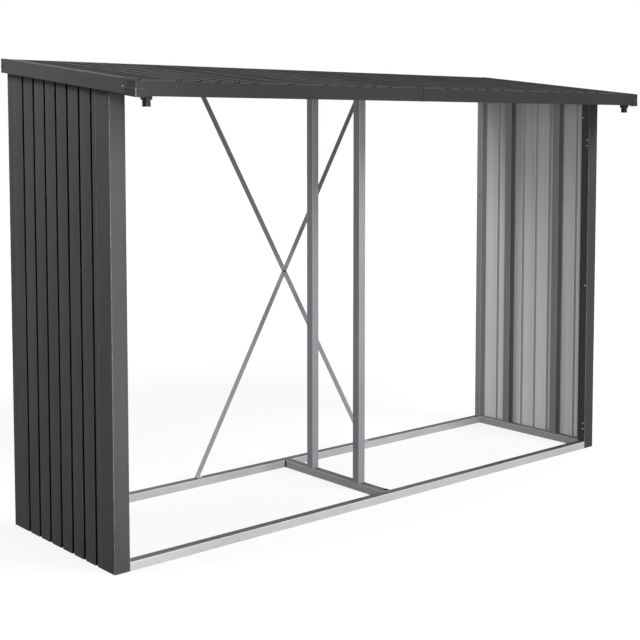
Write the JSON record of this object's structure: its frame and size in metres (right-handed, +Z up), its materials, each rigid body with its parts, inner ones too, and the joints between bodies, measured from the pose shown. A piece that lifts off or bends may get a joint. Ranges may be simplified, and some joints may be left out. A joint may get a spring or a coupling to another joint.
{
  "type": "log store",
  "caption": "Free-standing metal log store with ribbed side walls, a pitched ribbed roof with a front gutter and drain spouts, an open front and a cross-braced open rear.",
  "frame": {"origin": "on the ground, under the middle of the roof's outline", "axes": "+X to the right along the open front, +Y from the front to the rear, +Z up"},
  "size_m": [3.02, 1.043, 1.9977],
  "materials": {
    "anthracite_sheet": "satin anthracite coat",
    "galvanised_frame": "galvanised, matt",
    "spout_plastic": "black moulded"
  },
  "bodies": {
    "root": {"falling_brace": "galvanised_frame", "front_base_rail": "galvanised_frame", "left_base_rail": "galvanised_frame", "left_drain_spout": "spout_plastic", "left_fascia": "anthracite_sheet", "left_front_beam": "galvanised_frame", "left_front_post": "anthracite_sheet", "left_front_upright": "galvanised_frame", "left_gutter": "anthracite_sheet", "left_gutter_cap": "anthracite_sheet", "left_gutter_stop_end": "anthracite_sheet", "left_rafter": "galvanised_frame", "left_rear_post": "galvanised_frame", "left_rear_upright": "galvanised_frame", "left_wall_sheet": "anthracite_sheet", "middle_base_rail": "galvanised_frame", "middle_front_upright": "galvanised_frame", "middle_rafter": "galvanised_frame", "middle_rear_upright": "galvanised_frame", "rear_base_rail": "galvanised_frame", "rear_fascia": "anthracite_sheet", "rear_top_beam": "galvanised_frame", "right_base_rail": "galvanised_frame", "right_drain_spout": "spout_plastic", "right_fascia": "anthracite_sheet", "right_front_beam": "galvanised_frame", "right_front_post": "anthracite_sheet", "right_front_upright": "galvanised_frame", "right_gutter": "anthracite_sheet", "right_gutter_cap": "anthracite_sheet", "right_gutter_stop_end": "anthracite_sheet", "right_rafter": "galvanised_frame", "right_rear_post": "galvanised_frame", "right_rear_upright": "galvanised_frame", "right_wall_sheet": "anthracite_sheet", "rising_brace": "galvanised_frame", "roof_sheet_1": "anthracite_sheet", "roof_sheet_2": "anthracite_sheet", "roof_sheet_3": "anthracite_sheet", "roof_sheet_4": "anthracite_sheet"}
  },
  "joints": []
}
